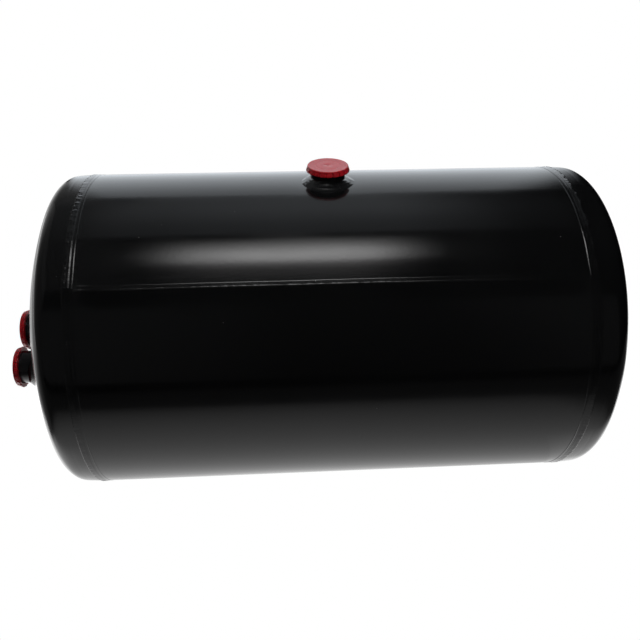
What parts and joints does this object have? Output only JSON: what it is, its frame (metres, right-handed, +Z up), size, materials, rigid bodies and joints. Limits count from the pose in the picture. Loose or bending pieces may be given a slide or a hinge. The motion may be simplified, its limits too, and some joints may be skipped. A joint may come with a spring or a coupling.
{
  "type": "air receiver tank",
  "caption": "Cylindrical air receiver with dished heads, welded threaded ports on the shell and one head, and push-on dust caps over the ports.",
  "frame": {"origin": "centre of the tank, on its axis, midway between the crowns of the two heads", "axes": "+X along the tank's axis towards the plain head, so the two end ports face -X; +Z up through the shell's port; the long seam weld lies between +Z and -Y"},
  "size_m": [0.5965, 0.3128, 0.3271],
  "materials": {
    "tank_paint": "smooth black gloss paint over steel",
    "cap_plastic": "red moulded polyethylene, slightly glossy",
    "plate_metal": "blank brushed rating plate"
  },
  "bodies": {
    "tank": {"shell": "tank_paint", "seam_weld": "tank_paint", "plain_head": "tank_paint", "ported_head": "tank_paint", "girth_weld_left": "tank_paint", "girth_weld_right": "tank_paint", "boss_top": "tank_paint", "boss_weld_top": "tank_paint", "boss_end_centre": "tank_paint", "boss_weld_end_centre": "tank_paint", "boss_end_offset": "tank_paint", "boss_weld_end_offset": "tank_paint", "rating_plate": "plate_metal", "plate_tacks": "plate_metal"},
    "cap_top": {"dust_cap_top": "cap_plastic"},
    "cap_end_centre": {"dust_cap_end_centre": "cap_plastic"},
    "cap_end_offset": {"dust_cap_end_offset": "cap_plastic"}
  },
  "joints": [
    {"name": "cap_top_pull", "type": "slide", "parent": "tank", "child": "cap_top", "axis": [0, 0, 1], "range_m": [0, 0.06]},
    {"name": "cap_end_centre_pull", "type": "slide", "parent": "tank", "child": "cap_end_centre", "axis": [-1, 0, 0], "range_m": [0, 0.06]},
    {"name": "cap_end_offset_pull", "type": "slide", "parent": "tank", "child": "cap_end_offset", "axis": [-1, 0, 0], "range_m": [0, 0.06]}
  ]
}
